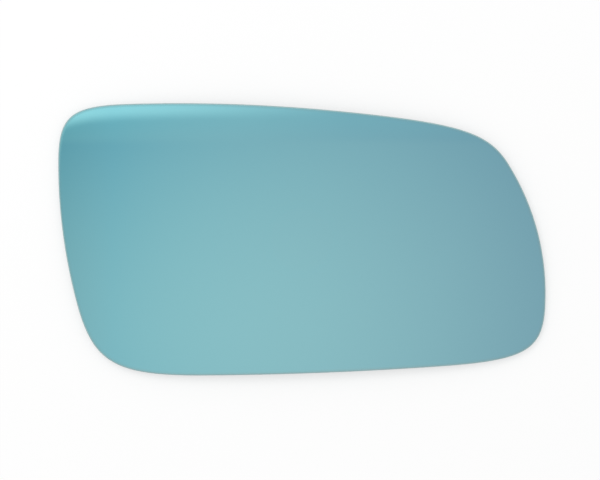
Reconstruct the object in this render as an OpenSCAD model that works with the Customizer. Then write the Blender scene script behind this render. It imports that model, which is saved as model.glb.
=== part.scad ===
// Convex glass of a car's door mirror, for the door on the right as seen from behind the car.
// It lies on its rim with the reflecting side up: +X runs to the outer end, +Y to the top edge
// as fitted, and +Z is the side that reflects. The origin is under the middle, on the surface
// that the glass lies on. The sheet is bent to a sphere, cut to its outline and ground all round.

/* [Sheet] */
// Width over all, from the inner end to the outer end
glass_w = 180; // [150:0.5:210]
// Height over all, at the fullest part
glass_h = 100.5; // [90:0.5:130]
// Thickness of the glass
glass_t = 2.1; // [1.6:0.1:3]
// Radius of the convex face, which sets how wide the view is
face_r = 1400; // [900:50:2400]

/* [Ground edge] */
// How far the rounded edge reaches in over each face
edge_reach = 0.5; // [0.2:0.05:0.6]

/* [Bowed sides] */
// Radius that the top edge is bowed to
top_bow = 610; // [400:10:1500]
// Place of the top edge's highest point, from the middle of the width
top_crest = -46; // [-60:1:0]
// Radius that the bottom edge is bowed to
bottom_bow = 1450; // [600:10:3000]
// Place of the bottom edge's lowest point, from the middle of the width
bottom_crest = -48; // [-60:1:0]
// Radius that the inner end is bowed to
inner_bow = 200; // [150:5:400]
// Height of the inner end's furthest point, from the middle of the height
inner_crest = 28.5; // [0:0.5:35]
// Radius that the outer end is bowed to
outer_bow = 90; // [80:1:150]
// Height of the outer end's furthest point, from the middle of the height
outer_crest = -20; // [-28:0.5:-5]

/* [Corner blends] */
// Top outer corner: length of the blend on the outer end
top_outer_on_end = 14.5; // [8:0.5:30]
// Top outer corner: length of the blend on the top edge
top_outer_on_edge = 54; // [30:0.5:65]
// Top inner corner: length of the blend on the top edge
top_inner_on_edge = 24.5; // [15:0.5:40]
// Top inner corner: length of the blend on the inner end
top_inner_on_end = 20.5; // [12:0.5:30]
// Bottom inner corner: length of the blend on the inner end
bottom_inner_on_end = 28; // [15:0.5:36]
// Bottom inner corner: length of the blend on the bottom edge
bottom_inner_on_edge = 38.5; // [25:0.5:55]
// Bottom outer corner: length of the blend on the bottom edge
bottom_outer_on_edge = 35.5; // [20:0.5:55]
// Bottom outer corner: length of the blend on the outer end
bottom_outer_on_end = 19; // [12:0.5:28]
// How full the corners are: 0.5 is slack, and near 1 reaches for the sharp corner
fullness = 0.83; // [0.6:0.01:0.92]

/* [Hidden] */
// Steps along each bowed side, along each corner blend and round the ground edge
side_steps = 16;
blend_steps = 28;
edge_steps = 6;
// How far the ground form runs on past both faces
overrun = 2.5;
// How far its upper cap rises over the middle, to stay clear of the sheet's bulge
cap_rise = 20;
// Facets round the whole sphere that the sheet is a small patch of
sphere_facets = 720;

glass_color = [0.53, 0.75, 0.78];

// A bowed side is [centre of its circle, radius], and the sides run anticlockwise from the outer end
outer_end = [[glass_w / 2 - outer_bow, outer_crest], outer_bow];
top_edge = [[top_crest, glass_h / 2 - top_bow], top_bow];
inner_end = [[inner_bow - glass_w / 2, inner_crest], inner_bow];
bottom_edge = [[bottom_crest, bottom_bow - glass_h / 2], bottom_bow];
sides = [outer_end, top_edge, inner_end, bottom_edge];
// Blend lengths at each corner: [on the side before it, on the side after it]
runs = [
    [top_outer_on_end, top_outer_on_edge],
    [top_inner_on_edge, top_inner_on_end],
    [bottom_inner_on_end, bottom_inner_on_edge],
    [bottom_outer_on_edge, bottom_outer_on_end],
];

function heading(side, point) = atan2(point.y - side[0].y, point.x - side[0].x);
function turn(side, run) = run / side[1] * 180 / PI;
function along(angle) = [-sin(angle), cos(angle)];
function outwards(angle) = [cos(angle), sin(angle)];
function on_side(side, angle) = side[0] + side[1] * outwards(angle);

// Sharp corner where two neighbouring sides would cross
function corner(a, b) =
    let (
        gap = b[0] - a[0],
        d = norm(gap),
        to_chord = (d * d + a[1] * a[1] - b[1] * b[1]) / (2 * d),
        half_chord = sqrt(a[1] * a[1] - to_chord * to_chord)
    )
    a[0] + (gap * to_chord + [-gap.y, gap.x] * half_chord) / d;

// Where the lines from p along u and from q along v cross
function crossing(p, u, q, v) =
    let (w = q - p)
    p + u * (w.x * v.y - w.y * v.x) / (u.x * v.y - u.y * v.x);

corners = [for (i = [0 : 3]) corner(sides[i], sides[(i + 1) % 4])];
// Heading on each side where the blend before it ends and the blend after it starts
side_starts = [for (i = [0 : 3]) heading(sides[i], corners[(i + 3) % 4]) + turn(sides[i], runs[(i + 3) % 4][1])];
side_ends = [for (i = [0 : 3]) heading(sides[i], corners[i]) - turn(sides[i], runs[i][0])];

// A station is [point on the outline, direction square to the outline and outwards]
function side_stations(i) =
    let (
        start = side_starts[i],
        sweep = (side_ends[i] - start + 360) % 360
    )
    [
        for (k = [0 : side_steps])
            let (angle = start + sweep * k / side_steps)
            [on_side(sides[i], angle), outwards(angle)]
    ];

// A corner is one cubic curve that leaves both sides along their own tangents
function blend_stations(i) =
    let (
        j = (i + 1) % 4,
        p = on_side(sides[i], side_ends[i]),
        q = on_side(sides[j], side_starts[j]),
        tip = crossing(p, along(side_ends[i]), q, along(side_starts[j])),
        p_arm = p + fullness * (tip - p),
        q_arm = q + fullness * (tip - q)
    )
    [
        for (k = [1 : blend_steps - 1])
            let (
                s = k / blend_steps,
                r = 1 - s,
                point = r * r * r * p + 3 * r * r * s * p_arm + 3 * r * s * s * q_arm + s * s * s * q,
                way = r * r * (p_arm - p) + 2 * r * s * (q_arm - p_arm) + s * s * (q - q_arm)
            )
            [point, [way.y, -way.x] / norm(way)]
    ];

outline = [for (i = [0 : 3]) each concat(side_stations(i), blend_stations(i))];

// The ground edge is one arc over the thickness, and each point of it is [inset, depth below the face]
edge_r = (edge_reach * edge_reach + glass_t * glass_t / 4) / (2 * edge_reach);
edge_angle = atan2(glass_t / 2, edge_r - edge_reach);
function edge_point(k) =
    let (angle = edge_angle * (2 * k / edge_steps - 1))
    [edge_r * (1 - cos(angle)), glass_t / 2 + edge_r * sin(angle)];
function run_on(a, b) = b + (b - a) * overrun / norm(b - a);
// The first and last steps run straight on past the faces, which cut them where the arc ends
edge_form = [
    run_on(edge_point(1), edge_point(0)),
    for (k = [1 : edge_steps - 1]) edge_point(k),
    run_on(edge_point(edge_steps - 1), edge_point(edge_steps)),
];

// Place on the bent sheet of a point of the flat pattern, from the sphere's centre
mid_r = face_r - glass_t / 2;
function bent(point, depth) =
    let (up = sqrt(mid_r * mid_r - point.x * point.x - point.y * point.y))
    (face_r - depth) / mid_r * [point.x, point.y, up];
function edge_ring(step) = [for (at = outline) bent(at[0] - step.x * at[1], step.y)];

// The furthest corners of the back face touch the surface that the glass lies on
rest_height = min([for (point = edge_ring([edge_reach, glass_t])) point.z]);

// Sheet as it leaves the bending mould, before it is cut
module bent_sheet() {
    translate([0, 0, -rest_height])
        difference() {
            sphere(face_r, $fn = sphere_facets);
            sphere(face_r - glass_t, $fn = sphere_facets);
        }
}

// Solid that the outline and its ground edge leave, running past both faces of the sheet
module ground_outline() {
    n = len(outline);
    rings = len(edge_form);
    lift = [0, 0, rest_height];
    skin = [for (step = edge_form) each [for (point = edge_ring(step)) point - lift]];
    top = bent([0, 0], -cap_rise) - lift;
    bottom = bent([0, 0], edge_form[rings - 1].y) - lift;
    wall = [
        for (k = [0 : rings - 2], i = [0 : n - 1])
            let (a = k * n + i, b = k * n + (i + 1) % n)
            each [[a, b, b + n], [a, b + n, a + n]]
    ];
    caps = [
        for (i = [0 : n - 1])
            let (j = (i + 1) % n, last = (rings - 1) * n)
            each [[rings * n, j, i], [rings * n + 1, last + i, last + j]]
    ];
    polyhedron(points = concat(skin, [top, bottom]), faces = concat(wall, caps));
}

module mirror_glass() {
    color(glass_color)
        intersection() {
            bent_sheet();
            ground_outline();
        }
}

mirror_glass();
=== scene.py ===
# Convex glass of a car's door mirror, lying on its rim with the reflecting side up
import math

import bmesh
import bpy
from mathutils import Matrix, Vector


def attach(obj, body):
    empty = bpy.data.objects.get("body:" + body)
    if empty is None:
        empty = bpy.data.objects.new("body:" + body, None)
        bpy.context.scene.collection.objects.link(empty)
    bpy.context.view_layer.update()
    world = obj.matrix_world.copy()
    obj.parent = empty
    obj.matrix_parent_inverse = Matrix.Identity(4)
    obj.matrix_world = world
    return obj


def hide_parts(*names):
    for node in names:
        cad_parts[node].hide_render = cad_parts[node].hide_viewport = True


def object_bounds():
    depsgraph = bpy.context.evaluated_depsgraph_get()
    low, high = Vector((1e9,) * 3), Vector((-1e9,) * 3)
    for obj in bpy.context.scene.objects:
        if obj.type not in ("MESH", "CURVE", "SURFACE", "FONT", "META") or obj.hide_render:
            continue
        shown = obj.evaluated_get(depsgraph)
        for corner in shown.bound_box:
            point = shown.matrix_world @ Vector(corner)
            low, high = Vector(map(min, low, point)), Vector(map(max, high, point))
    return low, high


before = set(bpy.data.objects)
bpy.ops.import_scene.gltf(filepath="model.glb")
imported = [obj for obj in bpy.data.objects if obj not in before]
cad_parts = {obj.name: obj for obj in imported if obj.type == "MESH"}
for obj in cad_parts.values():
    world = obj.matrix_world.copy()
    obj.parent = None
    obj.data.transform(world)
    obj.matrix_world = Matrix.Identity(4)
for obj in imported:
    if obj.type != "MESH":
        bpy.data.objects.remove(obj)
cad_low, cad_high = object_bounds()

# Sizes of the glass, in metres
FACE_R = 1.4
GLASS_T = 0.0021
EDGE_REACH = 0.0005
MID_R = FACE_R - GLASS_T / 2

# Steps round half of the ground edge, and from the rim to the middle of each face
EDGE_STEPS = 6
FACE_STEPS = 22
# Ring just inside the rim that holds the faces' curve up to it
RIM_RING = 0.0003

# Materials in the order of the piece's slots
SILVERED, GROUND, PAINTED = range(3)

# Camera: how many of the frame's pixels the glass is wide, and where its middle is
FRAME_W, FRAME_H = 600, 480
GLASS_PX = 487.1
MIDDLE_PX = (301.9, 239.4)
LENS_MM = 200
SENSOR_MM = 36

# Glass: its index of refraction, and how much its tint varies
GLASS_IOR = 1.52
TINT_SPREAD = 0.015
# Seal line, from the outline inwards: full up to the first distance and gone at the second
SEAL_FROM, SEAL_TO = 0.0006, 0.0015

# Colours, linear
TINT = (0.232, 0.544, 0.594)
SEAL = (0.262, 0.505, 0.525)
GROUND_GLASS = (0.255, 0.450, 0.470)
GRIT = (0.390, 0.580, 0.595)
PAINT = (0.105, 0.115, 0.123)
PAINT_WORN = (0.190, 0.204, 0.212)


class Value:
    """One output of a shader node, with maths that adds nodes."""

    def __init__(self, shader, node, socket):
        self.shader = shader
        self.node = node
        self.socket = socket

    def __getitem__(self, name):
        return Value(self.shader, self.node, self.node.outputs[name])

    def __add__(self, other):
        return self.shader.maths("ADD", self, other)

    def __radd__(self, other):
        return self.shader.maths("ADD", other, self)

    def __sub__(self, other):
        return self.shader.maths("SUBTRACT", self, other)

    def __rsub__(self, other):
        return self.shader.maths("SUBTRACT", other, self)

    def __mul__(self, other):
        return self.shader.maths("MULTIPLY", self, other)

    def __rmul__(self, other):
        return self.shader.maths("MULTIPLY", other, self)

    def __truediv__(self, other):
        return self.shader.maths("DIVIDE", self, other)

    def __pow__(self, other):
        return self.shader.maths("POWER", self, other)

    def __neg__(self):
        return 0 - self

    def at_least(self, other):
        return self.shader.maths("MAXIMUM", self, other)

    def at_most(self, other):
        return self.shader.maths("MINIMUM", self, other)

    def exp(self):
        return self.shader.maths("EXPONENT", self)

    def cos(self):
        return self.shader.maths("COSINE", self)

    def rise(self, low, high):
        """0 up to low, 1 from high on, and a smooth step between them."""
        settings = {"interpolation_type": "SMOOTHSTEP"}
        return self.shader.node("ShaderNodeMapRange", settings, {0: self, 1: low, 2: high, 3: 0, 4: 1})


class Shader:
    """Builds the nodes of one material or world."""

    def __init__(self, owner):
        owner.use_nodes = True
        self.owner = owner
        self.tree = owner.node_tree
        self.tree.nodes.clear()

    def node(self, kind, settings=None, sockets=None):
        made = self.tree.nodes.new(kind)
        for name, value in (settings or {}).items():
            setattr(made, name, value)
        for name, value in (sockets or {}).items():
            if isinstance(value, Value):
                self.tree.links.new(value.socket, made.inputs[name])
            else:
                made.inputs[name].default_value = value
        return Value(self, made, made.outputs[0] if made.outputs else None)

    def maths(self, operation, *terms):
        return self.node("ShaderNodeMath", {"operation": operation}, dict(enumerate(terms)))

    def place(self):
        """Object coordinates, in metres."""
        return self.node("ShaderNodeTexCoord")["Object"]

    def attribute(self, name):
        """A number kept on the piece's vertices."""
        return self.node("ShaderNodeAttribute", {"attribute_name": name})["Fac"]

    def axes(self, place):
        """The three parts of a place."""
        parts = self.node("ShaderNodeSeparateXYZ", None, {0: place})
        return parts["X"], parts["Y"], parts["Z"]

    def noise(self, place, scale, detail=2.0, roughness=0.5):
        """Noise from 0 to 1, with scale patches to the metre."""
        sockets = {"Vector": place, "Scale": scale, "Detail": detail, "Roughness": roughness}
        return self.node("ShaderNodeTexNoise", None, sockets)["Fac"]

    def streaks(self, x, y, z):
        """Noise from 0 to 1 on a place whose parts come stretched, so that its patches are long."""
        return self.noise(self.node("ShaderNodeCombineXYZ", None, {0: x, 1: y, 2: z}), 1, 3.0).rise(0.3, 0.7)

    def mix(self, share, first, second):
        """First colour where share is 0, second where it is 1."""
        ends = [(*c, 1.0) if isinstance(c, tuple) else c for c in (first, second)]
        settings = {"data_type": "RGBA"}
        return self.node("ShaderNodeMix", settings, {0: share, 6: ends[0], 7: ends[1]})[2]

    def combine(self, operation, first, second):
        """Vector maths on two colours."""
        return self.node("ShaderNodeVectorMath", {"operation": operation}, {0: first, 1: second})

    def tone(self, base, step, share):
        """Colour that starts at base and grows by share of step."""
        return self.node("ShaderNodeVectorMath", {"operation": "MULTIPLY_ADD"}, {0: step, 1: share, 2: base})

    def bump(self, height, distance):
        return self.node("ShaderNodeBump", None, {"Height": height, "Distance": distance})

    def surface(self, shade):
        self.node("ShaderNodeOutputMaterial", None, {"Surface": shade})
        return self.owner


def silvered_glass():
    """Blue mirror: silver under clear polished glass, with a thin seal line where it stops at the rim."""
    s = Shader(bpy.data.materials.new("silvered_glass"))
    place = s.place()
    seal = 1 - s.attribute("from_rim").rise(SEAL_FROM, SEAL_TO)
    deep, pale = (tuple(c * share for c in TINT) for share in (1 - TINT_SPREAD, 1 + TINT_SPREAD))
    coated = s.mix(s.noise(place, 14, 3.0), deep, pale)
    wiped = s.noise(place, 60, 4.0).rise(0.45, 0.75)
    ripple = s.noise(place, 25, 1.0)
    sockets = {
        "Base Color": s.mix(seal * 0.6, coated, SEAL),
        "Metallic": 1.0,
        "Roughness": 0.025 + 0.012 * wiped + 0.1 * seal,
        "Coat Weight": 1.0,
        "Coat Roughness": 0.03,
        "Coat IOR": GLASS_IOR,
        "Normal": s.bump(ripple, 0.000004),
    }
    return s.surface(s.node("ShaderNodeBsdfPrincipled", None, sockets))


def ground_glass():
    """Edge left matt by the grinding wheel, whose marks run along it."""
    s = Shader(bpy.data.materials.new("ground_glass"))
    place = s.place()
    x, y, _ = s.axes(place)
    marks = s.streaks(180 * x, 180 * y, 9000 * s.attribute("depth"))
    grain = s.noise(place, 2600, 3.0, 0.65).rise(0.25, 0.75)
    chatter = s.noise(place, 420, 2.0).rise(0.25, 0.75)
    sockets = {
        "Base Color": s.mix(0.45 * marks + 0.30 * grain + 0.25 * chatter, GROUND_GLASS, GRIT),
        "Roughness": 0.42 + 0.25 * grain,
        "IOR": GLASS_IOR,
        "Normal": s.bump(0.5 * marks + 0.5 * grain + 0.3 * chatter, 0.00003),
    }
    return s.surface(s.node("ShaderNodeBsdfPrincipled", None, sockets))


def back_paint():
    """Protective paint flowed over the silver: satin, with streaks, orange peel, nibs and thin patches."""
    s = Shader(bpy.data.materials.new("back_paint"))
    place = s.place()
    x, y, _ = s.axes(place)
    flow = s.noise(place, 35, 4.0).rise(0.3, 0.7)
    streak = s.streaks(12 * x, 700 * y, 0)
    peel = s.noise(place, 520, 2.0)
    nib = s.noise(place, 1500, 1.0).rise(0.64, 0.70)
    thin = 1 - s.attribute("from_rim").rise(0.0003, 0.0018)
    worn = 0.45 * flow + 0.25 * streak + 0.40 * nib + 0.40 * thin
    sockets = {
        "Base Color": s.mix(worn.at_most(1), PAINT, PAINT_WORN),
        "Roughness": 0.34 + 0.12 * flow + 0.10 * nib,
        "Normal": s.bump(peel + 0.3 * flow + 0.4 * nib, 0.00008),
    }
    return s.surface(s.node("ShaderNodeBsdfPrincipled", None, sockets))


class Sheet:
    """The glass, grown ring by ring from the outline at the middle of its thickness."""

    def __init__(self, node):
        self.bm = bmesh.new()
        self.bm.from_mesh(node.data)
        bmesh.ops.remove_doubles(self.bm, verts=self.bm.verts, dist=1e-6)
        crown = max((v.co for v in self.bm.verts), key=lambda co: co.z)
        self.centre = Vector((0, 0, crown.z - math.sqrt(FACE_R ** 2 - crown.x ** 2 - crown.y ** 2)))
        # Only the outline is kept: the ring whose depth is half the thickness
        near = GLASS_T / 20
        off = [v for v in self.bm.verts if abs((v.co - self.centre).length - MID_R) > near]
        bmesh.ops.delete(self.bm, geom=off, context="VERTS")
        layers = self.bm.verts.layers
        self.flat = layers.float_vector.new("flat")
        self.away = layers.float_vector.new("away")
        self.from_rim = layers.float.new("from_rim")
        self.depth = layers.float.new("depth")
        for v in self.bm.verts:
            v[self.flat] = (v.co.x, v.co.y, 0)
            v[self.depth] = GLASS_T / 2
        for v in self.bm.verts:
            v[self.away] = self.outwards(v)
        self.outline = list(self.bm.edges)

    def outwards(self, v):
        """Direction square to the outline at a vertex, in the flat."""
        here = v[self.flat]
        a, b = (e.other_vert(v)[self.flat] - here for e in v.link_edges)
        along = a.normalized() - b.normalized()
        out = Vector((along.y, -along.x, 0)).normalized()
        return out if out.dot(here) > 0 else -out

    def footprint(self):
        """Outline of the back face, as pairs of neighbouring points in the flat."""
        place = {v: (v[self.flat] - EDGE_REACH * v[self.away]).to_tuple() for v in self.bm.verts}
        return [[place[v] for v in e.verts] for e in self.outline]

    def grow(self, edges, material, inset, depth, share=1.0):
        """Adds one ring: inset from the outline, shrunk to a share, and bent to its depth below the face."""
        grown = bmesh.ops.extrude_edge_only(self.bm, edges=edges)["geom"]
        for v in (g for g in grown if isinstance(g, bmesh.types.BMVert)):
            rim = v[self.flat] - inset * v[self.away]
            flat = share * rim
            up = math.sqrt(MID_R ** 2 - flat.length_squared)
            v.co = self.centre + (flat + Vector((0, 0, up))) * (FACE_R - depth) / MID_R
            v[self.from_rim] = inset + (rim - flat).dot(v[self.away])
            v[self.depth] = depth
        for f in (g for g in grown if isinstance(g, bmesh.types.BMFace)):
            f.material_index = material
            f.smooth = True
        return [g for g in grown if isinstance(g, bmesh.types.BMEdge)]

    def ground_edge(self, edges, side):
        """Half of the rounded edge, from the outline to the face on one side: 1 is up and -1 is down."""
        edge_r = (EDGE_REACH ** 2 + GLASS_T ** 2 / 4) / (2 * EDGE_REACH)
        edge_angle = math.atan2(GLASS_T / 2, edge_r - EDGE_REACH)
        for k in range(1, EDGE_STEPS + 1):
            angle = edge_angle * k / EDGE_STEPS
            depth = GLASS_T / 2 - side * edge_r * math.sin(angle)
            edges = self.grow(edges, GROUND, edge_r * (1 - math.cos(angle)), depth)
        for e in edges:
            e.smooth = False
        return edges

    def face(self, edges, material, depth):
        """A face from its rim to its middle, where the last ring closes to a point."""
        edges = self.grow(edges, material, EDGE_REACH + RIM_RING, depth)
        for k in range(1, FACE_STEPS + 1):
            edges = self.grow(edges, material, EDGE_REACH + RIM_RING, depth, 1 - k / FACE_STEPS)

    def true_faces(self, mesh):
        """Gives both faces the sphere's own normals, so that what they reflect runs true up to the rim."""
        normals = [(0, 0, 0)] * len(mesh.loops)
        for polygon in mesh.polygons:
            if polygon.material_index != GROUND:
                side = 1 if polygon.material_index == SILVERED else -1
                for loop in polygon.loop_indices:
                    place = mesh.vertices[mesh.loops[loop].vertex_index].co
                    normals[loop] = side * (place - self.centre).normalized()
        mesh.normals_split_custom_set(normals)

    def piece(self, name):
        bmesh.ops.remove_doubles(self.bm, verts=self.bm.verts, dist=1e-6)
        bmesh.ops.recalc_face_normals(self.bm, faces=self.bm.faces)
        mesh = bpy.data.meshes.new(name)
        self.bm.to_mesh(mesh)
        self.bm.free()
        self.true_faces(mesh)
        piece = bpy.data.objects.new(name, mesh)
        bpy.context.scene.collection.objects.link(piece)
        return piece


def glass_piece(sheet):
    front_rim = sheet.ground_edge(sheet.outline, 1)
    back_rim = sheet.ground_edge(sheet.outline, -1)
    sheet.face(front_rim, SILVERED, 0)
    sheet.face(back_rim, PAINTED, GLASS_T)
    piece = sheet.piece("door_mirror_glass")
    for material in (silvered_glass(), ground_glass(), back_paint()):
        piece.data.materials.append(material)
    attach(piece, "root")
    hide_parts("mirror_glass")


# Camera height at which the glass fills its share of the frame, and how far its middle is moved
field_w = (cad_high.x - cad_low.x) * FRAME_W / GLASS_PX
pixel = field_w / FRAME_W
camera_height = field_w * LENS_MM / SENSOR_MM
camera_x = (FRAME_W / 2 - MIDDLE_PX[0]) * pixel
camera_y = (MIDDLE_PX[1] - FRAME_H / 2) * pixel

# Studio tent that only reflections see
TENT_R = 3.0
# Reflected slope for each metre across the glass, seen from the camera
SPREAD = 1 / camera_height + 2 / FACE_R + 1 / TENT_R
# Lights overhead, each by where on the glass it shows from straight above, in metres
GLOW_MIDDLE = (-0.0628, -0.0333)
GLOW_REACH = (0.2835, 0.300)
FAR_WALL = 0.0366
STRIP_EDGE = 0.0467
INNER_END = -0.090
# Steps round the floor
FLOOR_STEPS = 96
# Heights on the tent, as shares of its radius
EAVES = 0.42
ROOF_TOP = 0.80
# Bays of the wall, and soft boxes in the ring over it
BAYS = 6

# Levels: light from all round on matt surfaces, the floor's own grey, and what lifts it to white
FILL = 0.80
FLOOR_GREY = 0.50
FLOOR_LIFT = 0.515
WHITE = (1, 1, 1, 1)


def ceiling_light(s, across, up):
    """Warm glow that fades to a cool, dim ceiling, and a line where the ceiling meets the far wall."""
    glow_x = (across - GLOW_MIDDLE[0]) / GLOW_REACH[0]
    glow_y = (up - GLOW_MIDDLE[1]) / GLOW_REACH[1]
    fade = (-((glow_x ** 2 + glow_y ** 2) ** 0.86)).exp()
    light = s.tone((-2.162, -1.087, -0.460), (3.328, 2.128, 1.455), fade)
    # It grows warmer to the outer end
    light = s.combine("ADD", light, s.tone((0, 0, 0), (5.66, 2.66, 1.64), across))
    # Pale glimmer at the inner end
    glimmer = (-0.070 - across).at_least(0).at_most(0.05)
    light = s.combine("MULTIPLY", light, s.tone((1, 1, 1), (7.0, -1.0, -3.5), glimmer))
    # Past the far wall's edge the light steps a little, and then brightens
    past = up - FAR_WALL
    step = (across + 0.010).at_most(0.028).at_least(-0.09) * past.rise(-0.0018, 0.0018)
    light = s.combine("MULTIPLY", light, s.tone((1, 1, 1), (-2.1, -1.15, -0.6), step))
    light = s.combine("MULTIPLY", light, s.tone((1, 1, 1), (2.0, 7.5, 6.5), past.at_least(0).at_most(0.03)))
    return s.combine("MAXIMUM", light, (0.40, 0.55, 0.62))


def strip_light(s, across, up):
    """Soft strip light: its near edge droops at the inner end, and it fades to the outer end."""
    droop = 0.0037 * (-(across - INNER_END) / 0.009).exp()
    near_edge = STRIP_EDGE + 0.004 * across - droop.at_most(0.01)
    lit = (up - near_edge).rise(-0.0025, 0.0021) * (0.08 - 5.2 * across).at_least(0).at_most(0.5)
    return s.tone((0, 0, 0), (1.12, 0.99, 0.88), lit)


def wall_light(s, x, y, height):
    """Pale wall in bays, and a dimmer roof over it with a ring of soft boxes."""
    around = s.maths("ARCTAN2", y, x)
    wall = s.mix(height.rise(0, EAVES), (0.98, 0.98, 0.98), (0.66, 0.71, 0.75))
    bay = (BAYS * around + 0.6).cos().rise(-0.06, 0.06)
    wall = s.mix(0.16 * bay, wall, (0.30, 0.34, 0.38))
    roof = s.mix(height.rise(EAVES, ROOF_TOP), (0.44, 0.52, 0.58), (0.56, 0.66, 0.72))
    box_width = (BAYS * around + 2.2).cos().rise(0, 0.25)
    box_height = height.rise(0.49, 0.51) * (1 - height.rise(0.69, 0.72))
    roof = s.mix(box_width * box_height, roof, (1.02, 1.03, 1.02))
    return s.mix(height.rise(EAVES - 0.008, EAVES + 0.006), wall, roof)


def tent_light():
    """Light on the tent: a ceiling and a strip light overhead, and a pale wall lower down."""
    s = Shader(bpy.data.materials.new("tent_light"))
    x, y, z = s.axes(s.place())
    slope = SPREAD * z.at_least(0.05)
    across = x / slope
    up = y / slope
    overhead = s.combine("ADD", ceiling_light(s, across, up), strip_light(s, across, up))
    height = z / TENT_R
    colour = s.mix(height.rise(ROOF_TOP, 0.93), wall_light(s, x, y, height), overhead)
    return s.surface(s.node("ShaderNodeEmission", None, {"Color": colour, "Strength": 1.0}))


def stage_object(name, bm, material):
    mesh = bpy.data.meshes.new(name)
    bm.to_mesh(mesh)
    bm.free()
    mesh.materials.append(material)
    made = bpy.data.objects.new(name, mesh)
    bpy.context.scene.collection.objects.link(made)
    return made


def studio_tent():
    bm = bmesh.new()
    bmesh.ops.create_icosphere(bm, subdivisions=5, radius=TENT_R)
    tent = stage_object("studio_tent", bm, tent_light())
    tent.visible_camera = False
    tent.visible_diffuse = False
    tent.visible_transmission = False
    tent.visible_shadow = False


def seen_directly(s):
    """1 for what the camera sees, by itself or in metal or glass, and 0 for light on matt surfaces."""
    ray = s.node("ShaderNodeLightPath")
    return (ray["Is Camera Ray"] + ray["Is Glossy Ray"] + ray["Is Transmission Ray"]).at_most(1)


def floor_paint():
    """Pale and matt, white to the camera where no shadow falls, and clear from behind to show the back."""
    s = Shader(bpy.data.materials.new("floor_paint"))
    matt = s.node("ShaderNodeBsdfDiffuse", None, {"Color": (FLOOR_GREY, FLOOR_GREY, FLOOR_GREY, 1)})
    lift = s.node("ShaderNodeEmission", None, {"Color": WHITE, "Strength": FLOOR_LIFT * seen_directly(s)})
    top = s.node("ShaderNodeAddShader", None, {0: matt, 1: lift})
    below = s.node("ShaderNodeNewGeometry")["Backfacing"]
    clear = s.node("ShaderNodeBsdfTransparent")
    return s.surface(s.node("ShaderNodeMixShader", None, {0: below, 1: top, 2: clear}))


def floor_part(name, footprint, paint, under_glass):
    """The floor's patch under the glass, or the wide rest of it round that patch."""
    bm = bmesh.new()
    corners = {point: bm.verts.new(point) for pair in footprint for point in pair}
    for a, b in footprint:
        bm.edges.new((corners[a], corners[b]))
    if not under_glass:
        bmesh.ops.create_circle(bm, segments=FLOOR_STEPS, radius=TENT_R)
    bmesh.ops.triangle_fill(bm, use_beauty=True, edges=bm.edges, normal=(0, 0, 1))
    bmesh.ops.translate(bm, verts=bm.verts, vec=(0, 0, cad_low.z))
    # The faces look up, because the paint is clear from behind
    for f in bm.faces:
        f.normal_update()
        if f.normal.z < 0:
            f.normal_flip()
    part = stage_object(name, bm, paint)
    # Light from below passes the patch and reaches the back, while the rest keeps its shadow
    part.visible_diffuse = not under_glass


def studio_floor(footprint):
    paint = floor_paint()
    floor_part("studio_floor", footprint, paint, False)
    floor_part("floor_under_glass", footprint, paint, True)


def studio_fill():
    """Even light from all round, and white to the camera."""
    world = bpy.data.worlds.new("studio")
    bpy.context.scene.world = world
    s = Shader(world)
    sockets = {"Color": WHITE, "Strength": FILL + (1 - FILL) * seen_directly(s)}
    s.node("ShaderNodeOutputWorld", None, {"Surface": s.node("ShaderNodeBackground", None, sockets)})


def soft_box():
    """Area lamp over the top left, which gives the glass its soft shadow."""
    lamp = bpy.data.lights.new("soft_box", "AREA")
    lamp.shape = "RECTANGLE"
    lamp.size = 0.9
    lamp.size_y = 0.6
    lamp.energy = 3.0
    box = bpy.data.objects.new("soft_box", lamp)
    bpy.context.scene.collection.objects.link(box)
    box.location = (-0.45, 0.55, 0.95)
    box.rotation_euler = (-box.location).to_track_quat("-Z", "Y").to_euler()
    box.visible_glossy = False
    box.visible_camera = False


def studio_camera():
    """Looks straight down on the glass, square on as its maker would show it."""
    data = bpy.data.cameras.new("camera")
    data.lens = LENS_MM
    data.sensor_width = SENSOR_MM
    data.clip_start = 0.01
    data.clip_end = 100
    camera = bpy.data.objects.new("camera", data)
    bpy.context.scene.collection.objects.link(camera)
    camera.location = (camera_x, camera_y, cad_low.z + GLASS_T / 2 + camera_height)
    bpy.context.scene.camera = camera


sheet = Sheet(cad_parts["mirror_glass"])
footprint = sheet.footprint()
glass_piece(sheet)
studio_tent()
studio_floor(footprint)
studio_fill()
soft_box()
studio_camera()
bpy.context.scene.view_settings.view_transform = "Standard"
